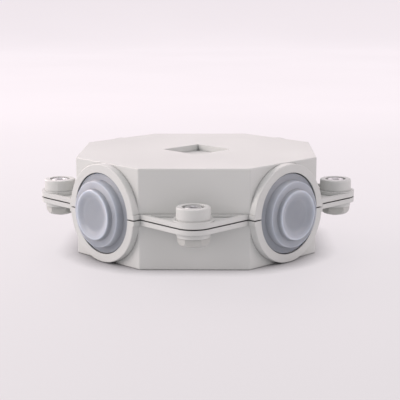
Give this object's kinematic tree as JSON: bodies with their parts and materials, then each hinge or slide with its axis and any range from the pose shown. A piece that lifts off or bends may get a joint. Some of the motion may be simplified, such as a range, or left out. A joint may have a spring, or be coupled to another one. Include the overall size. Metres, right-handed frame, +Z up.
{
  "type": "octagonal junction box",
  "caption": "Low octagonal cable junction box in two bolted halves, with stepped grommets on its diagonal faces and bolted lugs on the others.",
  "frame": {"origin": "middle of the underside, on the surface that the box stands on", "axes": "+Z up, through the square recess in the top; -Y towards the front lug, +X towards the right lug"},
  "size_m": [0.164, 0.164, 0.049],
  "materials": {
    "shell_plastic": "fine matt moulded plastic, light warm grey",
    "grommet_silicone": "translucent blue-grey silicone, satin",
    "gasket_rubber": "black foam rubber",
    "stainless_steel": "turned stainless steel",
    "nut_plastic": "matt moulded plastic, light grey",
    "block_plastic": "natural polyamide",
    "clamp_brass": "plain brass",
    "plated_steel": "zinc-plated steel"
  },
  "bodies": {
    "root": {"upper_shell": "shell_plastic", "lower_shell": "shell_plastic", "terminal_block": "block_plastic", "clamp_screws": "plated_steel", "block_screw_left": "plated_steel", "block_screw_right": "plated_steel", "gasket_strip_front": "gasket_rubber", "lug_bolt_front": "stainless_steel", "bolt_washer_front": "stainless_steel", "domed_nut_front": "nut_plastic", "gasket_strip_right": "gasket_rubber", "lug_bolt_right": "stainless_steel", "bolt_washer_right": "stainless_steel", "domed_nut_right": "nut_plastic", "gasket_strip_back": "gasket_rubber", "lug_bolt_back": "stainless_steel", "bolt_washer_back": "stainless_steel", "domed_nut_back": "nut_plastic", "gasket_strip_left": "gasket_rubber", "lug_bolt_left": "stainless_steel", "bolt_washer_left": "stainless_steel", "domed_nut_left": "nut_plastic", "cable_grommet_front_right": "grommet_silicone", "cable_grommet_back_right": "grommet_silicone", "cable_grommet_back_left": "grommet_silicone", "cable_grommet_front_left": "grommet_silicone", "terminal_clamp_1": "clamp_brass", "terminal_clamp_2": "clamp_brass", "terminal_clamp_3": "clamp_brass", "terminal_clamp_4": "clamp_brass"}
  },
  "joints": []
}
